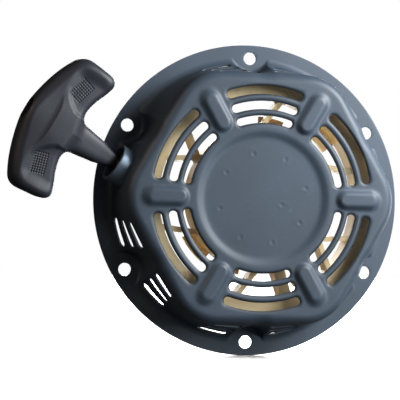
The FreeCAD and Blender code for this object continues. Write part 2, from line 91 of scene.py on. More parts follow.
class Signal:
    """A number or colour on its way through a finish's nodes. Sums and products of
    signals add Math nodes."""

    def __init__(self, tree, socket):
        self.tree = tree
        self.socket = socket

    def out(self, name):
        """Another output of the same node."""
        return Signal(self.tree, self.socket.node.outputs[name])

    def math(self, operation, other):
        node = self.tree.nodes.new("ShaderNodeMath")
        node.operation = operation
        for place, term in zip(node.inputs, (self, other)):
            if isinstance(term, Signal):
                self.tree.links.new(term.socket, place)
            else:
                place.default_value = term
        return Signal(self.tree, node.outputs[0])

    def __add__(self, other):
        return self.math("ADD", other)

    def __mul__(self, other):
        return self.math("MULTIPLY", other)

    __radd__ = __add__
    __rmul__ = __mul__


class Finish:
    """A paint, plating or plastic, mixed from nodes on the piece's own coordinates."""

    def __init__(self, name):
        self.material = bpy.data.materials.new(name)
        self.material.use_nodes = True
        self.tree = self.material.node_tree
        self.tree.nodes.clear()
        self.place = self.node("ShaderNodeTexCoord").out("Object")

    def node(self, kind, settings=None, sockets=None):
        """One node: its settings first, then the values or signals of its sockets."""
        made = self.tree.nodes.new(kind)
        for key, value in (settings or {}).items():
            setattr(made, key, value)
        for key, value in (sockets or {}).items():
            if isinstance(value, Signal):
                self.tree.links.new(value.socket, made.inputs[key])
            else:
                made.inputs[key].default_value = value
        outlet = [o for o in made.outputs if o.enabled]
        return Signal(self.tree, outlet[0]) if outlet else None

    def noise(self, scale, detail=3.0, roughness=0.5, stretch=None):
        place = self.place
        if stretch:
            place = self.node("ShaderNodeMapping", None, {"Vector": place, "Scale": stretch})
        sockets = {"Vector": place, "Scale": scale, "Detail": detail, "Roughness": roughness}
        return self.node("ShaderNodeTexNoise", None, sockets)

    def mixed(self, share, first, second):
        """A colour part of the way from first to second."""
        return self.node("ShaderNodeMix", {"data_type": "RGBA"}, {0: share, 6: first, 7: second})

    def stepped(self, value, low, high):
        """0 below low, 1 above high, smooth between."""
        settings = {"interpolation_type": "SMOOTHSTEP"}
        sockets = {"Value": value, "From Min": low, "From Max": high}
        return self.node("ShaderNodeMapRange", settings, sockets)

    def bumped(self, height, depth, strength=1.0):
        sockets = {"Height": height, "Distance": depth, "Strength": strength}
        return self.node("ShaderNodeBump", None, sockets)

    def coat(self, settings):
        """The surface itself, with everything that was mixed for it."""
        surface = self.node("ShaderNodeBsdfPrincipled", None, settings)
        self.node("ShaderNodeOutputMaterial", None, {"Surface": surface})
        return self.material


def tint(red, green, blue):
    """A colour as a paint chart gives it, 0 to 255, turned into the light it reflects."""
    share = np.array([red, green, blue]) / 255
    light = np.where(share <= 0.04045, share / 12.92, ((share + 0.055) / 1.055) ** 2.4)
    return tuple(light) + (1.0,)


def quilt(name, points, close_rows=False, close_columns=False):
    """A mesh over a grid of points (rows, columns, 3), four corners to a face, its ends
    joined where asked."""
    rows, columns = points.shape[:2]
    number = np.arange(rows * columns).reshape(rows, columns)
    if close_rows:
        number = np.vstack([number, number[:1]])
    if close_columns:
        number = np.hstack([number, number[:, :1]])
    corners = (number[:-1, :-1], number[1:, :-1], number[1:, 1:], number[:-1, 1:])
    faces = np.stack(corners, axis=-1).reshape(-1, 4)
    mesh = bpy.data.meshes.new(name)
    mesh.from_pydata(points.reshape(-1, 3), [], faces.tolist())
    mesh.shade_smooth()
    thing = bpy.data.objects.new(name, mesh)
    bpy.context.collection.objects.link(thing)
    return thing


floor_reach = np.array([-2.2, 2.2])
floor_layers = np.meshgrid(floor_reach, floor_reach, [cad_low.z], indexing="ij")
floor_grid = np.stack(floor_layers, axis=-1)[:, :, 0]
studio = quilt("studio_floor", floor_grid[:, ::-1])
paper = Finish("studio_paper")
fibre = paper.noise(6.0, 2.0)
paper_white = paper.mixed(fibre, tint(250, 250, 249), tint(255, 255, 255))
studio.data.materials.append(paper.coat({"Base Color": paper_white, "Roughness": 0.9}))
studio.visible_diffuse = False
studio.visible_glossy = False

# ---------------------------------------------------------------- Lights
# Soft studio light: a small lamp close by at the upper right grazes the face, so that its
# light fades towards the lower left and the ribs throw shade that way. One behind shines
# through the open back onto the reel, one catches the right edge, a weak warm one
# stands on the left, and a broad one overhead lights only the floor.


def softbox(name, place, aim, width, height, power, colour=(1.0, 1.0, 1.0)):
    lamp = bpy.data.lights.new(name, "AREA")
    lamp.shape = "RECTANGLE"
    lamp.size = width
    lamp.size_y = height
    lamp.energy = power
    lamp.color = colour
    stand = bpy.data.objects.new(name, lamp)
    bpy.context.collection.objects.link(stand)
    stand.location = place
    stand.rotation_euler = (Vector(aim) - Vector(place)).to_track_quat("-Z", "Y").to_euler()
    return stand


softbox("key_light", (0.32, -0.24, 0.23), (0, 0, 0), 0.2, 0.2, 3.2, (0.95, 0.98, 1.0))
softbox("fill_light", (1.05, -1.25, 0.25), (0, 0, 0), 0.7, 1.2, 22.0, (0.95, 0.98, 1.0))
softbox("warm_light", (-1.0, -0.5, 0.6), (0, 0, 0), 0.6, 0.6, 3.0, (1.0, 0.78, 0.6))
softbox("edge_light", (0.9, 0.35, -0.02), (0, 0, 0), 0.25, 0.5, 3.6, (0.9, 0.96, 1.0))
softbox("back_light", (0.2, 0.8, 0.1), (0, 0, 0), 0.6, 0.6, 12.0)
floor_lamp = softbox("floor_light", (0.0, 0.0, 3.0), (0.0, 0.001, 0.0), 3.0, 3.0, 700.0)
floor_only = bpy.data.collections.new("floor_only")
floor_only.objects.link(studio)
floor_lamp.light_linking.receiver_collection = floor_only
world = bpy.data.worlds.new("studio_air")
bpy.context.scene.world = world
world.use_nodes = True
air = world.node_tree
facing = air.nodes.new("ShaderNodeTexCoord")
parts = air.nodes.new("ShaderNodeSeparateXYZ")
air.links.new(facing.outputs["Generated"], parts.inputs[0])
fade = air.nodes.new("ShaderNodeMapRange")
fade.interpolation_type = "SMOOTHSTEP"
air.links.new(parts.outputs["X"], fade.inputs["Value"])
for socket, value in (("From Min", -0.7), ("From Max", 0.9), ("To Min", 0.01), ("To Max", 0.14)):
    fade.inputs[socket].default_value = value
seen = air.nodes.new("ShaderNodeLightPath")
pick = air.nodes.new("ShaderNodeMix")
air.links.new(seen.outputs["Is Camera Ray"], pick.inputs[0])
air.links.new(fade.outputs[0], pick.inputs[2])
pick.inputs[3].default_value = 1.0
air.nodes["Background"].inputs["Color"].default_value = (1.0, 1.0, 1.0, 1.0)
air.links.new(pick.outputs[0], air.nodes["Background"].inputs["Strength"])
bpy.context.scene.view_settings.view_transform = "Standard"

# ---------------------------------------------------------------- Housing
# One cup of 1.5 mm sheet steel, deep drawn with its flange, face and shallow dish, then
# pierced and painted. Its slots are pressed with turned-down edges, its six ribs stiffen
# the face, and the spot welds of the post bracket show as small pits in the dished middle.
MM = 0.001
SHEET = 1.5
FLANGE_R = 111.0
BASE_R = 98.5
FACE = 48.0
FACE_FLAT_R = 85.2
FACE_CORNER_R = 32.0
BOLT_CIRCLE_R = 101.5
BOLT_HOLE_R = 4.6
WELL_R = 12.0
WELL_SOFT = 9.0
SLOTS = ((51.5, 56.6), (60.9, 66.6), (71.4, 77.1))
SLOT_SWEEP = 21
LIP_DROP = 0.9
LIP_WIDE = 1.9
LOUVRES = ((8.0, 15.2), (21.5, 13.8), (35.0, 12.5))
LOUVRE_HALF_TALL = 3.3
LOUVRE_HALF_LONG = 10.5
LOUVRE_CORNER_R = 2.8
RIB_FROM = 58.6
RIB_TO = 76.2
RIB_REACH = 7.4
RIB_RISE = 2.6
DISH_R = 47.0
DISH_DEEP = 1.8
GUIDE_HOLE_R = 12.9
FAR_OFF = 50.0


def rounded_hexagon(angle, apothem=FACE_FLAT_R, corner=FACE_CORNER_R):
    """Distance from the axis to a six-sided outline: flat sides at the apothem, facing 30,
    90 and so on, joined by round corners. On a corner it is
    reach cos a + sqrt(corner^2 - (reach sin a)^2), with a the angle from its middle."""
    a = np.abs((angle + math.pi / 6) % (math.pi / 3) - math.pi / 6)
    from_flat = math.pi / 6 - a
    reach = (apothem - corner) / math.cos(math.pi / 6)
    bend = reach * np.cos(a) + np.sqrt(corner ** 2 - (reach * np.sin(a)) ** 2)
    on_bend = apothem * np.tan(from_flat) > (apothem - corner) * math.tan(math.pi / 6)
    return np.where(on_bend, bend, apothem / np.cos(from_flat))


def ease(x):
    """0 below 0, 1 above 1, and 3x^2 - 2x^3 between."""
    x = np.clip(x, 0, 1)
    return x * x * (3 - 2 * x)


def wall_radius(height, angle):
    """The wall leans straight from the base circle to the face's outline. Beside each bolt
    it gives way to a round well about the bolt's axis: the lesser of the two radii, with
    their meeting edge softened by a parabola as wide as WELL_SOFT."""
    leaning = BASE_R + (rounded_hexagon(angle) - BASE_R) * height / FACE
    a = angle % (math.pi / 3) - math.pi / 6
    beside = BOLT_CIRCLE_R * np.abs(np.sin(a))
    well = BOLT_CIRCLE_R * np.cos(a) - np.sqrt(np.maximum(WELL_R ** 2 - beside ** 2, 0))
    well = well + 4 * np.maximum(beside - WELL_R, 0)
    soft = np.maximum(WELL_SOFT - np.abs(leaning - well), 0) / WELL_SOFT
    return np.minimum(leaning, well) - soft ** 2 * WELL_SOFT / 4


def oblong(across, along, half_across, half_along, corner):
    """Signed distance to a rectangle with round corners, below zero inside."""
    x = np.abs(across) - half_across + corner
    y = np.abs(along) - half_along + corner
    return np.minimum(np.maximum(x, y), 0) + np.hypot(np.maximum(x, 0), np.maximum(y, 0)) - corner


def slot_distance(radius, angle):
    """Signed distance to the nearest of the face's arc slots: three to a sector, each
    swept as far either side of the bolt's line."""
    a = angle % (math.pi / 3) - math.pi / 6
    near = []
    for inner, outer in SLOTS:
        middle = (inner + outer) / 2
        half = (outer - inner) / 2
        half_long = math.radians(SLOT_SWEEP) * middle
        near.append(oblong(radius - middle, a * middle, half, half_long, half - 0.15))
    return np.min(near, axis=0)


def louvre_distance(radius, angle, height):
    """Signed distance to the wall's slots, three high and two groups to a side, with none
    on the side of the rope guide."""
    a = angle % (math.pi / 3) - math.pi / 6
    near = []
    for middle, offset in LOUVRES:
        along = 95 * (np.abs(a) - math.radians(offset))
        size = (LOUVRE_HALF_TALL, LOUVRE_HALF_LONG, LOUVRE_CORNER_R)
        near.append(oblong(height - middle, along, *size))
    guide_side = (angle > math.radians(120)) & (angle < math.radians(180))
    off_wall = guide_side | (radius < 80) | (height < 3)
    return np.where(off_wall, FAR_OFF, np.min(near, axis=0))


def pierced(name, points, distance):
    """A mesh over the grid with the places where distance is below zero left out. Where a
    grid edge crosses an outline, its nearer end slides along the edge onto it. Cells inside
    are dropped, and a cell with one corner inside keeps the triangle of its other three."""
    moved = points.copy()
    slide = np.full(distance.shape, np.inf)
    for axis, step in ((0, 1), (0, -1), (1, 1), (1, -1)):
        far_distance = np.roll(distance, -step, axis)
        far_point = np.roll(points, -step, axis)
        crossing = distance * far_distance < 0
        if axis == 0:
            crossing[-1 if step > 0 else 0] = False
        share = np.where(crossing, distance / np.where(crossing, distance - far_distance, 1), 1)
        length = share * np.linalg.norm(far_point - points, axis=-1)
        better = crossing & (share <= 0.5) & (length < slide)
        moved[better] = (points + share[..., None] * (far_point - points))[better]
        slide[better] = length[better]
    on = np.isfinite(slide) | (np.abs(distance) < 1e-6)
    state = np.where(on, 0, np.sign(distance))
    rows, columns = distance.shape
    number = np.arange(rows * columns).reshape(rows, columns)
    number = np.hstack([number, number[:, :1]])
    corners = (number[:-1, :-1], number[1:, :-1], number[1:, 1:], number[:-1, 1:])
    cells = np.stack(corners, axis=-1).reshape(-1, 4)
    cell_state = state.ravel()[cells]
    cell_depth = distance.ravel()[cells]
    inside = (cell_state < 0).sum(axis=1)
    flat_on = (cell_state == 0).all(axis=1) & (cell_depth.mean(axis=1) < 0)
    faces = cells[(inside == 0) & ~flat_on].tolist()
    for corner in range(4):
        others = [(corner + k) % 4 for k in (1, 2, 3)]
        mine = (inside == 1) & (cell_state[:, corner] < 0)
        others_on = (cell_state[:, others] == 0).all(axis=1)
        mine &= ~(others_on & (cell_depth[:, others].mean(axis=1) < 0))
        faces += cells[mine][:, others].tolist()
    middle = rows * columns
    last = number[-1]
    faces += [[int(a), middle, int(b)] for a, b in zip(last[:-1], last[1:])]
    mesh = bpy.data.meshes.new(name)
    hub = moved[-1].mean(axis=0)
    mesh.from_pydata(np.vstack([moved.reshape(-1, 3), hub]), [], faces)
    mesh.shade_smooth()
    thing = bpy.data.objects.new(name, mesh)
    bpy.context.collection.objects.link(thing)
    return thing


def settle(thing, sharp):
    """Makes the piece's modifiers part of its mesh and marks its hard edges."""
    bpy.context.view_layer.update()
    shown = thing.evaluated_get(bpy.context.evaluated_depsgraph_get())
    mesh = bpy.data.meshes.new_from_object(shown)
    mesh.name = thing.data.name
    thing.modifiers.clear()
    thing.data = mesh
    mesh.shade_smooth()
    mesh.set_sharp_from_angle(angle=math.radians(sharp))


half_sector = np.concatenate([
    np.arange(0, 8, 0.8), np.arange(8, 19, 1.1), np.arange(19, 23.2, 0.7), np.linspace(23.2, 30, 7),
])
sector = np.concatenate([-half_sector[:0:-1], half_sector[:-1]])
angle = np.radians(np.add.outer(np.arange(30, 390, 60), sector).ravel())
ring_of = np.ones_like(angle)
FOOT_FILLET = 4.2
EDGE_ROUND = 6.0
radii, heights = [], []
foot = wall_radius(0, angle) + FOOT_FILLET
for share in np.linspace(0, 1, 13):
    radii.append(FLANGE_R + share * (foot - FLANGE_R))
    heights.append(SHEET * ring_of)
for bend in np.radians(np.linspace(0, 90, 6)[1:]):
    height = FOOT_FILLET * (1 - math.cos(bend))
    radii.append(wall_radius(height, angle) + FOOT_FILLET * (1 - math.sin(bend)))
    heights.append((SHEET + height) * ring_of)
wall_heights = [6.6, 8, 9.4, 10.6, 11.7, 13, 15.5, 17.8, 18.9, 20.2, 21.5, 22.8, 24.1, 25.3]
wall_heights += [28, 31.2, 32.4, 33.7, 35, 36.3, 37.6, 39]
for height in wall_heights:
    radii.append(wall_radius(height, angle))
    heights.append(height * ring_of)
for bend in np.radians(np.linspace(0, 90, 10)):
    height = FACE - EDGE_ROUND * (1 - math.sin(bend))
    radii.append(wall_radius(height, angle) - EDGE_ROUND * (1 - math.cos(bend)))
    heights.append(height * ring_of)
brow = radii[-1]
FACE_RING_R = 78.0
for share in (0.25, 0.5, 0.75, 1.0):
    radii.append(brow + share * (FACE_RING_R - brow))
    heights.append(FACE * ring_of)
face_radii = []
for inner, outer in SLOTS[::-1]:
    middle = (inner + outer) / 2
    face_radii += [outer, outer - 0.9, middle + 1.2, middle, middle - 1.2, inner + 0.9, inner]
    face_radii += [inner - 0.9, inner - 1.85] + ([inner - 2.7] if inner > 60 else [])
face_radii += [47.9, 46.7, 45.5, 44.3, 43.2, 42.2, 41.2, 39.5]
face_radii += [36.5, 34.6, 33.6, 32.7, 31.9, 31, 30.1, 29.3, 28.4]
face_radii += [25, 20, 16.3, 15.2, 14, 12.8, 11.6, 8, 4, 1.6]
for radius in face_radii:
    radii.append(radius * ring_of)
    heights.append(FACE * ring_of)
radius = np.array(radii)
height = np.array(heights)
angles = np.broadcast_to(angle, radius.shape)

on_face = (height > FACE - 0.01) & (radius < 90)
from_rib = (angles + math.pi / 6) % (math.pi / 3) - math.pi / 6
rib_x = radius * np.cos(from_rib)
rib_y = radius * np.sin(from_rib)
rib_depth = np.hypot(np.maximum(np.maximum(RIB_FROM - rib_x, rib_x - RIB_TO), 0), rib_y)
height = height + np.where(on_face, RIB_RISE * ease((RIB_REACH - rib_depth) / 3.8), 0)
height = height - np.where(on_face, DISH_DEEP * ease((DISH_R - radius) / 6.6), 0)
slots = np.where(on_face, slot_distance(radius, angles), FAR_OFF)
height = height - LIP_DROP * np.clip(1 - np.maximum(slots, 0) / LIP_WIDE, 0, 1) ** 2
weld_angles = np.radians((14, 60, 103, 147, 194, 240, 283, 328, -18))
weld_radii = np.array((31.0,) * 8 + (14.0,))
for weld_angle, weld_radius in zip(weld_angles, weld_radii):
    pit = np.hypot(radius * np.cos(angles) - weld_radius * math.cos(weld_angle),
                   radius * np.sin(angles) - weld_radius * math.sin(weld_angle))
    dent = 0.2 * np.exp(-(pit / 1.1) ** 2) - 0.06 * np.exp(-((pit - 2.3) / 0.9) ** 2)
    height = height - np.where(on_face, dent, 0)

sheet_points = np.stack([radius * np.cos(angles), -height, radius * np.sin(angles)], axis=-1)
bolt_angle = np.radians(30) + np.round((angles - np.radians(30)) / (math.pi / 3)) * (math.pi / 3)
bolt_distance = np.hypot(radius * np.cos(angles) - BOLT_CIRCLE_R * np.cos(bolt_angle),
                         radius * np.sin(angles) - BOLT_CIRCLE_R * np.sin(bolt_angle))
bolt_distance = np.where(height < SHEET + 0.5, bolt_distance - BOLT_HOLE_R, FAR_OFF)
guide_base = np.array([-92.8, -23.0, 19.0])
guide_way = np.array([-0.858, -0.188, 0.478])
from_base = sheet_points - guide_base
off_axis = from_base - (from_base @ guide_way)[..., None] * guide_way
by_guide = np.linalg.norm(from_base, axis=-1) < 27
guide_distance = np.linalg.norm(off_axis, axis=-1) - GUIDE_HOLE_R
guide_distance = np.where(by_guide, guide_distance, FAR_OFF)
louvres = louvre_distance(radius, angles, height)
cut_distance = np.minimum.reduce([slots, louvres, bolt_distance, guide_distance])
housing = pierced("starter_housing", sheet_points * MM, cut_distance)
gauge = housing.modifiers.new("gauge", "SOLIDIFY")
gauge.thickness = (SHEET - 0.02) * MM
gauge.offset = 1
gauge.use_even_offset = True
burr = housing.modifiers.new("burr", "BEVEL")
burr.width = 0.28 * MM
burr.segments = 2
burr.limit_method = "ANGLE"
burr.angle_limit = math.radians(55)
settle(housing, 45)
corners = np.empty(len(housing.data.vertices) * 3)
housing.data.vertices.foreach_get("co", corners)
corners = corners.reshape(-1, 3) / MM
corner_radius = np.hypot(corners[:, 0], corners[:, 2])
corner_angle = np.arctan2(corners[:, 2], corners[:, 0]) % (2 * math.pi)
# Painted shade: the face's paint is darkened along the slots' turned-down edges, where shade falls.
slot_edge_painted_shade = 1 - ease((slot_distance(corner_radius, corner_angle) - 0.2) / LIP_WIDE)
slot_edge_painted_shade[corners[:, 1] > -35] = 0
housing.data.attributes.new("painted_slot_shade", "FLOAT", "POINT").data.foreach_set("value", slot_edge_painted_shade)

slate = Finish("slate_paint")
cloud = slate.noise(18.0, 3.0)
speck = slate.noise(420.0, 2.0)
peel = slate.noise(1500.0, 2.0)
slate_colour = slate.mixed(slate.stepped(cloud, 0.3, 0.7), tint(58, 71, 84), tint(64, 77, 92))
slate_colour = slate.mixed(slate.stepped(speck, 0.62, 0.8) * 0.35, slate_colour, tint(88, 100, 113))
# Painted shade: towards the slots' edges the paint is mixed towards near-black, standing in for shade
# there.
painted_slot_shade = slate.node("ShaderNodeAttribute", {"attribute_name": "painted_slot_shade"}).out("Fac")
slate_colour = slate.mixed(painted_slot_shade * 0.75, slate_colour, tint(22, 26, 32))
slate_rough = 0.46 + cloud * 0.1 + speck * 0.05
slate_normal = slate.bumped(peel + speck * 0.6, 0.00004, 0.5)
slate_paint = slate.coat({
    "Base Color": slate_colour, "Roughness": slate_rough, "Normal": slate_normal,
    "Coat Weight": 0.15, "Coat Roughness": 0.35, "Specular IOR Level": 0.45,
})
housing.data.materials.append(slate_paint)
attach(housing, "housing")
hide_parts("housing")

# ---------------------------------------------------------------- Rope guide collar
# A short turned steel tube welded into the wall and painted with it. Its paint is a lighter,
# glossier copy of the housing's slate, a painted highlight on the barrel. Its mouth has a thick
# rounded lip, and inside sits a brown nylon bush that flares towards both ends.
COLLAR_R = 13.45
COLLAR_MOUTH = 8.95
BUSH_R = 11.1
THROAT_R = 4.5


def turned(name, along, away, base, way, sides=72):
    """A closed outline (distance along the axis, distance away from it) carried round the
    axis through base."""
    way = way / np.linalg.norm(way)
    first = np.cross(way, [0.0, 0.0, 1.0])
    first /= np.linalg.norm(first)
    second = np.cross(way, first)
    round_it = np.linspace(0, 2 * math.pi, sides, endpoint=False)
    spokes = np.outer(np.cos(round_it), first) + np.outer(np.sin(round_it), second)
    points = base + along[:, None, None] * way + away[:, None, None] * spokes[None]
    return quilt(name, points * MM, close_rows=True, close_columns=True)


def softened(corners, radius, steps=5):
    """A closed outline with each corner turned into a short curve: the points of a parabola
    from radius before the corner to radius after."""
    corners = np.array(corners, float)
    before = np.roll(corners, 1, axis=0) - corners
    after = np.roll(corners, -1, axis=0) - corners
    room_before = np.linalg.norm(before, axis=1)[:, None]
    room_after = np.linalg.norm(after, axis=1)[:, None]
    start = corners + before / room_before * np.minimum(radius, 0.49 * room_before)
    end = corners + after / room_after * np.minimum(radius, 0.49 * room_after)
    t = np.linspace(0, 1, steps)[None, :, None]
    curve = (1 - t) ** 2 * start[:, None] + 2 * t * (1 - t) * corners[:, None] + t ** 2 * end[:, None]
    return curve.reshape(-1, 2)


collar_outline = softened([
    (-5.0, COLLAR_R), (COLLAR_MOUTH, COLLAR_R), (COLLAR_MOUTH, 11.5), (6.6, 11.1), (-5.0, 11.5),
], 1.0)
collar = turned("guide_collar", collar_outline[::-1, 0], collar_outline[::-1, 1], guide_base, guide_way)
# Painted highlight: the collar's slate is made lighter than the housing's to stand in for light on its
# barrel.
collar_painted_highlight = Finish("slate_paint_with_painted_highlight")
sheen_patches = collar_painted_highlight.noise(180.0, 3.0)
collar_painted_highlight_colour = collar_painted_highlight.mixed(sheen_patches, tint(92, 108, 124), tint(108, 125, 142))
slate_paint_with_painted_highlight = collar_painted_highlight.coat({
    "Base Color": collar_painted_highlight_colour, "Roughness": 0.3 + sheen_patches * 0.1, "Metallic": 0.35,
    "Normal": collar_painted_highlight.bumped(collar_painted_highlight.noise(900.0), 0.00004, 0.4),
})
collar.data.materials.append(slate_paint_with_painted_highlight)
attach(collar, "housing")
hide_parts("rope_guide_collar")

bush_outline = softened([
    (-7.0, BUSH_R), (4.5, BUSH_R), (4.5, 10.2), (1.2, THROAT_R), (-3.4, THROAT_R), (-7.0, 8.0),
], 1.2)
bush = turned("guide_bush", bush_outline[::-1, 0], bush_outline[::-1, 1], guide_base, guide_way)
brown = Finish("brown_nylon")
grease = brown.noise(260.0, 3.0)
brown_colour = brown.mixed(grease, tint(70, 50, 36), tint(104, 78, 56))
brown_nylon = brown.coat({
    "Base Color": brown_colour, "Roughness": 0.42 + grease * 0.16,
    "Normal": brown.bumped(brown.noise(900.0), 0.00005, 0.5),
})
bush.data.materials.append(brown_nylon)
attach(bush, "housing")
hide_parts("rope_guide_bush")

# ---------------------------------------------------------------- Reel
# Injection moulded cream nylon: a grooved rim on slanting spokes round a drum that holds
# the spring. It is seen through the face's slots and from the open back.
cream = Finish("cream_nylon")
flow = cream.noise(14.0, 3.0, 0.6)
mark = cream.noise(160.0, 2.0)
cream_colour = cream.mixed(cream.stepped(flow, 0.3, 0.7), tint(236, 211, 163), tint(246, 228, 190))
cream_colour = cream.mixed(cream.stepped(mark, 0.6, 0.8) * 0.3, cream_colour, tint(196, 166, 118))
cream_nylon = cream.coat({
    "Base Color": cream_colour, "Roughness": 0.4 + flow * 0.12,
    "Normal": cream.bumped(mark + cream.noise(700.0) * 0.5, 0.00006, 0.5),
    "Subsurface Weight": 0.25, "Subsurface Radius": (0.004, 0.003, 0.0015), "Subsurface Scale": 0.6,
})


def refinish(material, *names):
    """CAD pieces that keep their own shape take this finish in every slot."""
    for name in names:
        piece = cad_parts[name]
        piece.data.materials.clear()
        piece.data.materials.append(material)


refinish(cream_nylon, "reel")
refinish(brown_nylon, "reel_bush")

# ---------------------------------------------------------------- Steel parts behind the reel
# Pressed and turned steel, zinc plated: post, bracket, washer, screw, cam plate, pawls and
# their pins. The springs are plain oiled spring steel.
zinc = Finish("zinc_plate")
spangle = zinc.node("ShaderNodeTexVoronoi", {"feature": "F1"}, {"Vector": zinc.place, "Scale": 320.0})
haze = zinc.noise(90.0, 4.0, 0.6)
drawn = zinc.noise(240.0, 2.0, 0.5, (1.0, 14.0, 1.0))
zinc_colour = zinc.mixed(haze, tint(150, 150, 146), tint(186, 187, 184))
zinc_colour = zinc.mixed(zinc.stepped(spangle, 0.1, 0.9) * 0.3, zinc_colour, tint(128, 130, 128))
zinc_plate = zinc.coat({
    "Base Color": zinc_colour, "Metallic": 1.0, "Roughness": 0.26 + haze * 0.2,
    "Normal": zinc.bumped(drawn, 0.00003, 0.4),
})
refinish(zinc_plate, "post_bracket", "spindle", "thrust_washer", "centre_screw", "ratchet_guide",
         "pawl_1", "pawl_2", "pawl_pins")
blue = Finish("spring_steel")
scale_of_heat = blue.noise(60.0, 3.0)
spring_colour = blue.mixed(scale_of_heat, tint(70, 72, 78), tint(104, 104, 108))
spring_steel = blue.coat({
    "Base Color": spring_colour, "Metallic": 1.0, "Roughness": 0.3 + scale_of_heat * 0.15,
    "Normal": blue.bumped(blue.noise(800.0), 0.00002, 0.3),
})
refinish(spring_steel, "recoil_spring", "friction_spring", "pawl_spring_1", "pawl_spring_2")

# ---------------------------------------------------------------- Handle
# A moulded T-grip of charcoal plastic with a fine grain. The bar's front swells and falls
# off towards the crown, the fingers get a shallow hollow either side of the stem's ridge,
# and each hollow has a grid of small square dimples. The stem tapers to the rope.
HANDLE_TIP = 7.0
CROWN_R = 85.2
GRIP_HALF_LONG = 47.6
GRIP_HALF_THICK = 12.0
PAD_DEEP = 1.7
DIMPLE_PITCH = 1.7
DIMPLE_DEEP = 0.4
STEM_SQUARENESS = 3.4
BORE_R = 2.8
POCKET_R = 7.6
handle_across = np.array([0.4867, 0.0, 0.8736])
handle_thick = np.cross(handle_across, guide_way)
handle_tip = guide_base + HANDLE_TIP * guide_way
handle_frame = np.stack([handle_across, guide_way, handle_thick])


def soft_most(a, b, width):
    """The greater of two distances, with the edge where they meet rounded over that width."""
    near = np.maximum(width - np.abs(a - b), 0) / width
    return np.maximum(a, b) + near ** 2 * width / 4


def soft_least(a, b, width):
    return -soft_most(-a, -b, width)


def dimple_depth(s, along):
    """How deep the grip's dimples go: nine by six small square pits, on a grid that is
    turned to follow the crown."""
    turn = math.radians(16.7)
    a = (s - 28.0) * math.cos(turn) - (along - 48.5) * math.sin(turn)
    b = (s - 28.0) * math.sin(turn) + (along - 48.5) * math.cos(turn)
    off_a = np.abs((a / DIMPLE_PITCH + 0.5) % 1 - 0.5)
    off_b = np.abs((b / DIMPLE_PITCH) % 1 - 0.5)
    from_middle = np.maximum(off_a, off_b) * DIMPLE_PITCH
    on_grid = (np.abs(a) < 7.6) & (np.abs(b) < 5.1)
    return np.where(on_grid, DIMPLE_DEEP * ease((0.68 - from_middle) / 0.3), 0)


def grip_distance(across, along, thick):
    """Signed distance to the T-grip. The bar's outline is the crown's arc, its ends and the
    fingers' arcs, softly met, given a thickness with round edges. The stem is a squarish
    oval that tapers to the tip. The two are softly joined, then bored for the rope."""
    s = np.abs(across)
    crown = np.hypot(s, along + 12.2) - CROWN_R
    fingers = 43.0 - np.hypot(s - 12.2, along + 5.4)
    end = (s - GRIP_HALF_LONG - 0.1 * (along - 35.0)) * 0.995
    lobe = 29.4 - along + 0.12 * (s - 42)
    outline = soft_most(crown, end, 6.0)
    outline = soft_most(outline, soft_most(fingers, lobe, 6.0), 7.0)
    ridge = np.interp(along, [38.5, 45.2, 50.5, 56.0], [11.0, 11.5, 15.2, 21.0])
    blunt = np.interp(along, [40, 56], [2.5, 8.0])
    pad = ease((s - ridge + blunt / 3 - 1) / blunt)
    pad = pad * ease((60 - along) / 9) * (1 - ease((s - 35) / 9))
    fall = 3.6 * np.clip((along - 42) / 31, 0, 1) ** 1.5 * (1 - 0.65 * np.exp(-(s / 17) ** 2))
    half = GRIP_HALF_THICK - fall - PAD_DEEP * pad - dimple_depth(s, along)
    edge = 5.0 + 3.5 * np.clip((along - 44) / 26, 0, 1) * (1 - np.exp(-(s / 14) ** 2))
    x = outline + edge
    y = np.abs(thick) - half + edge
    bar = np.minimum(np.maximum(x, y), 0) + np.hypot(np.maximum(x, 0), np.maximum(y, 0)) - edge
    wide = np.interp(along, [0, 15, 36, 50], [3.9, 8.0, 11.2, 13.5])
    deep = np.interp(along, [0, 15, 36, 50], [3.7, 6.6, 9.2, 9.8])
    oval = np.abs(across / wide) ** STEM_SQUARENESS + np.abs(thick / deep) ** STEM_SQUARENESS
    oval = oval ** (1 / STEM_SQUARENESS)
    stem = (oval - 1) * np.minimum(wide, deep)
    stem = soft_most(stem, -along, 1.2)
    stem = np.maximum(stem, along - 52)
    body = soft_least(bar, stem, 7.0)
    bore = BORE_R - np.hypot(across, thick)
    pocket = np.minimum(POCKET_R - np.hypot(across, thick), along - 56.2)
    return soft_most(body, np.maximum(bore, pocket), 0.8)


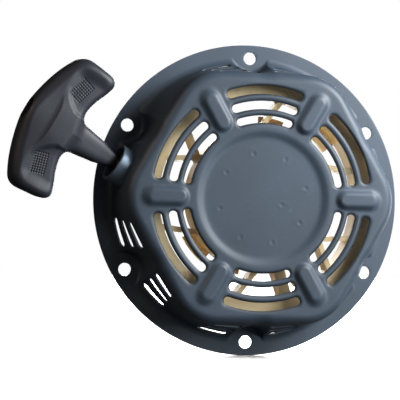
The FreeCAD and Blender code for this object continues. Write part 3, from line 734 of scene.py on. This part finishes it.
def skinned(distance, low, high, pitch):
    """The surface where a distance field is zero, as quads: one vertex in each grid cell
    that the surface crosses, at the mean of its crossings, and one quad round each grid
    edge that it crosses. Every vertex then steps down the field's slope onto the surface."""
    axes = [np.arange(a, b + pitch, pitch) for a, b in zip(low, high)]
    grid = np.stack(np.meshgrid(*axes, indexing="ij"), axis=-1)
    field = distance(grid[..., 0], grid[..., 1], grid[..., 2])
    total = np.zeros(tuple(n - 1 for n in field.shape) + (3,))
    count = np.zeros(tuple(n - 1 for n in field.shape))
    edges = []
    for axis in range(3):
        near = np.take(field, range(field.shape[axis] - 1), axis)
        far = np.take(field, range(1, field.shape[axis]), axis)
        crossed = np.argwhere((near < 0) != (far < 0))
        start = near[tuple(crossed.T)]
        share = start / (start - far[tuple(crossed.T)])
        spot = grid[tuple(crossed.T)].copy()
        spot[:, axis] += share * pitch
        others = [a for a in range(3) if a != axis]
        ring = []
        for step in ((0, 0), (1, 0), (1, 1), (0, 1)):
            cell = crossed.copy()
            cell[:, others[0]] -= step[0]
            cell[:, others[1]] -= step[1]
            np.add.at(total, tuple(cell.T), spot)
            np.add.at(count, tuple(cell.T), 1)
            ring.append(cell)
        outward = (start < 0) == (axis != 1)
        edges.append((np.stack(ring, axis=1), outward))
    used = count > 0
    number = np.full(count.shape, -1)
    number[used] = np.arange(used.sum())
    points = total[used] / count[used][:, None]
    for _ in range(4):
        here = distance(*points.T)
        ahead = [distance(*(points + nudge).T) - here for nudge in 0.02 * np.eye(3)]
        slope = np.stack(ahead, axis=1) / 0.02
        points = points - slope * (here / np.maximum((slope ** 2).sum(axis=1), 0.2))[:, None]
    faces = []
    for cells, outward in edges:
        quad = number[tuple(np.moveaxis(cells, -1, 0))]
        faces.append(np.where(outward[:, None], quad, quad[:, ::-1]))
    return points, np.vstack(faces)


grip_points, grip_faces = skinned(grip_distance, (-53, -2, -15), (53, 76, 15), 0.45)
grip_mesh = bpy.data.meshes.new("t_grip_handle")
grip_mesh.from_pydata((handle_tip + grip_points @ handle_frame) * MM, [], grip_faces.tolist())
grip_mesh.shade_smooth()
handle = bpy.data.objects.new("t_grip_handle", grip_mesh)
bpy.context.collection.objects.link(handle)
charcoal = Finish("charcoal_plastic")
grain_sockets = {"Vector": charcoal.place, "Scale": 1500.0}
grain = charcoal.node("ShaderNodeTexVoronoi", {"feature": "F1"}, grain_sockets)
wear = charcoal.noise(35.0, 3.0)
charcoal_colour = charcoal.mixed(wear, tint(35, 38, 46), tint(44, 48, 58))
charcoal_plastic = charcoal.coat({
    "Base Color": charcoal_colour, "Roughness": 0.46 + wear * 0.1,
    "Normal": charcoal.bumped(grain, 0.00006, 0.35),
})
handle.data.materials.append(charcoal_plastic)
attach(handle, "handle")
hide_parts("handle")

# ---------------------------------------------------------------- Rope
# Five millimetres of braided white polyester: two full turns on the reel with a third over
# them, a lead that runs off the reel through the bush and the handle, and an overhand knot
# at each end. The short stretch between bush and handle is a piece of its own.
ROPE_R = 2.5
TURN_R = 74.6
TURN_HEIGHTS = (24.3, 29.5)
TOP_TURN_R = 79.1
TOP_TURN_HEIGHT = 26.9
TOP_TURN_SPAN = 315.0
BEND_R = 14.0
REEL_KNOT_ANGLE = math.radians(297.8)
ROPE_IN_HANDLE = 58.0


def plaited(path, radius=ROPE_R, closed=False, sides=32):
    """A braided strand along a path: a tube whose radius is (0.92 + 0.08 w) times the
    rope's, with w the square root of |sin 4(a + ks) sin 4(a - ks)|, a the angle round the
    tube and s the distance along it. Gives points, faces and w."""
    forward_step = np.roll(path, -1, axis=0) - path
    if not closed:
        forward_step[-1] = forward_step[-2]
    length = np.linalg.norm(forward_step, axis=1)
    along = np.concatenate([[0], np.cumsum(length)[:-1]])
    way = forward_step + np.roll(forward_step, 1, axis=0) if closed else forward_step
    way = way / np.linalg.norm(way, axis=1)[:, None]
    outward = np.cross(way, [0.3, 0.9, 0.31])
    outward /= np.linalg.norm(outward, axis=1)[:, None]
    sideways = np.cross(way, outward)
    wave = math.pi / 22
    if closed:
        wave = round(length.sum() * 4 * wave / math.pi) * math.pi / (4 * length.sum())
    turn = np.linspace(0, 2 * math.pi, sides, endpoint=False)
    first = np.sin(4 * (turn[None] + wave * along[:, None]))
    second = np.sin(4 * (turn[None] - wave * along[:, None]))
    weave = np.sqrt(np.abs(first * second))
    reach = radius * (0.92 + 0.08 * weave)
    spokes = outward[:, None] * np.cos(turn)[None, :, None]
    spokes = spokes + sideways[:, None] * np.sin(turn)[None, :, None]
    points = (path[:, None] + reach[..., None] * spokes).reshape(-1, 3)
    number = np.arange(len(points)).reshape(len(path), sides)
    loops = np.hstack([number, number[:, :1]])
    if closed:
        loops = np.vstack([loops, loops[:1]])
    corners = (loops[:-1, :-1], loops[1:, :-1], loops[1:, 1:], loops[:-1, 1:])
    cells = np.stack(corners, axis=-1).reshape(-1, 4)
    faces = cells[:, ::-1].tolist()
    if not closed:
        faces += [number[0].tolist(), number[-1, ::-1].tolist()]
    return points, faces, weave.ravel()


def rope_piece(name, strands):
    """One mesh of several strands, with each vertex's place in the weave as its attribute."""
    points = []
    faces = []
    weave = []
    for strand_points, strand_faces, strand_weave in strands:
        start = sum(len(p) for p in points)
        points.append(strand_points)
        faces += [[start + corner for corner in face] for face in strand_faces]
        weave.append(strand_weave)
    mesh = bpy.data.meshes.new(name)
    mesh.from_pydata(np.vstack(points) * MM, [], faces)
    mesh.shade_smooth()
    lay = mesh.attributes.new("weave", "FLOAT", "POINT")
    lay.data.foreach_set("value", np.concatenate(weave))
    thing = bpy.data.objects.new(name, mesh)
    bpy.context.collection.objects.link(thing)
    thing.data.materials.append(rope_white)
    return thing


def winding(radius, height, start, span, step=0.6):
    """A turn of rope about the starter's axis, from one angle over a span, in degrees."""
    count = int(math.radians(span) * radius / step)
    a = np.radians(start + span * np.arange(count) / (count if span == 360 else count - 1))
    return np.stack([radius * np.cos(a), np.full(count, -height), radius * np.sin(a)], axis=-1)


def straight(start, end, step=0.6):
    count = max(int(np.linalg.norm(end - start) / step), 2)
    return start + np.linspace(0, 1, count)[:, None] * (end - start)


def overhand(middle, way, wide, long, radius):
    """A tight overhand knot: the trefoil (sin t + 2 sin 2t, cos t - 2 cos 2t, -sin 3t) with
    its axis along way."""
    t = np.linspace(0, 2 * math.pi, 150, endpoint=False)
    first = np.cross(way, [0.0, 1.0, 0.0])
    first /= np.linalg.norm(first)
    second = np.cross(way, first)
    path = np.outer(np.sin(t) + 2 * np.sin(2 * t), first) * wide
    path = path + np.outer(np.cos(t) - 2 * np.cos(2 * t), second) * wide
    return plaited(middle + path - np.outer(np.sin(3 * t), way) * long, radius, closed=True)


twine = Finish("braided_rope")
lift = twine.node("ShaderNodeAttribute", {"attribute_name": "weave"}).out("Fac")
fuzz = twine.noise(900.0, 3.0)
# Painted shade: the white rope is greyed in the valleys between its strands, where the weave is low.
rope_colour = twine.mixed(twine.stepped(lift, 0.05, 0.6), tint(120, 116, 108), tint(222, 220, 213))
rope_colour = twine.mixed(fuzz * 0.25, rope_colour, tint(190, 186, 176))
rope_white = twine.coat({
    "Base Color": rope_colour, "Roughness": 0.8 + fuzz * 0.1,
    "Normal": twine.bumped(fuzz, 0.0001, 0.6), "Sheen Weight": 0.3,
})


def guide_at(distance):
    return guide_base + guide_way * distance


bend_point = guide_at(-4.5)
bend_reach = math.hypot(bend_point[0], bend_point[2])
bend_angle = math.atan2(bend_point[2], bend_point[0])
leave_angle = math.degrees(bend_angle + math.acos(TOP_TURN_R / bend_reach))
full_turns = rope_piece("rope_full_turns", [
    plaited(winding(TURN_R, height, 0, 360), closed=True) for height in TURN_HEIGHTS
])
top_winding = winding(TOP_TURN_R, TOP_TURN_HEIGHT, leave_angle + 0.5, TOP_TURN_SPAN)
outer_turn = rope_piece("rope_top_turn", [plaited(top_winding)])
lead_start = winding(TOP_TURN_R, TOP_TURN_HEIGHT, leave_angle, 1.0)[0]
way_in = (bend_point - lead_start) / np.linalg.norm(bend_point - lead_start)
trim = BEND_R * math.tan(math.acos(way_in @ guide_way) / 2)
bend_in = bend_point - way_in * trim
bend_out = bend_point + guide_way * trim
u = np.linspace(0, 1, 30)[1:-1, None]
bend = (1 - u) ** 2 * bend_in + 2 * u * (1 - u) * bend_point + u ** 2 * bend_out
lead_path = np.vstack([straight(lead_start, bend_in), bend, straight(bend_out, guide_at(3.4))])
lead = rope_piece("rope_lead_out", [plaited(lead_path)])
pull = rope_piece("rope_pull", [plaited(straight(guide_at(3.2), guide_at(7.2), 0.1))])
in_grip = straight(guide_at(HANDLE_TIP), guide_at(HANDLE_TIP + ROPE_IN_HANDLE))
inner = rope_piece("rope_inside_grip", [plaited(in_grip)])
knot_way = np.array([math.cos(REEL_KNOT_ANGLE), 0.0, math.sin(REEL_KNOT_ANGLE)])
knot_level = np.array([0.0, TOP_TURN_HEIGHT, 0.0])
reel_end = rope_piece("rope_reel_knot", [
    overhand(63.5 * knot_way - knot_level, knot_way, 0.95, 1.9, 2.1),
    plaited(straight(65.0 * knot_way - knot_level, 71.5 * knot_way - knot_level)),
])
grip_knot = overhand(guide_at(HANDLE_TIP + ROPE_IN_HANDLE + 5.0), guide_way, 1.5, 2.6, 2.4)
grip_end = rope_piece("rope_grip_knot", [grip_knot])
for piece, body, cad_node in (
    (full_turns, "reel", "rope_turns"),
    (outer_turn, "reel", "rope_outer_turn"),
    (reel_end, "reel", "reel_knot"),
    (lead, "housing", "rope_lead"),
    (inner, "handle", "rope_in_handle"),
    (grip_end, "handle", "handle_knot"),
):
    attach(piece, body)
    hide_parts(cad_node)
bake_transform(pull)
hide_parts("rope_draw")
refinish(zinc_plate, "handle_washer")
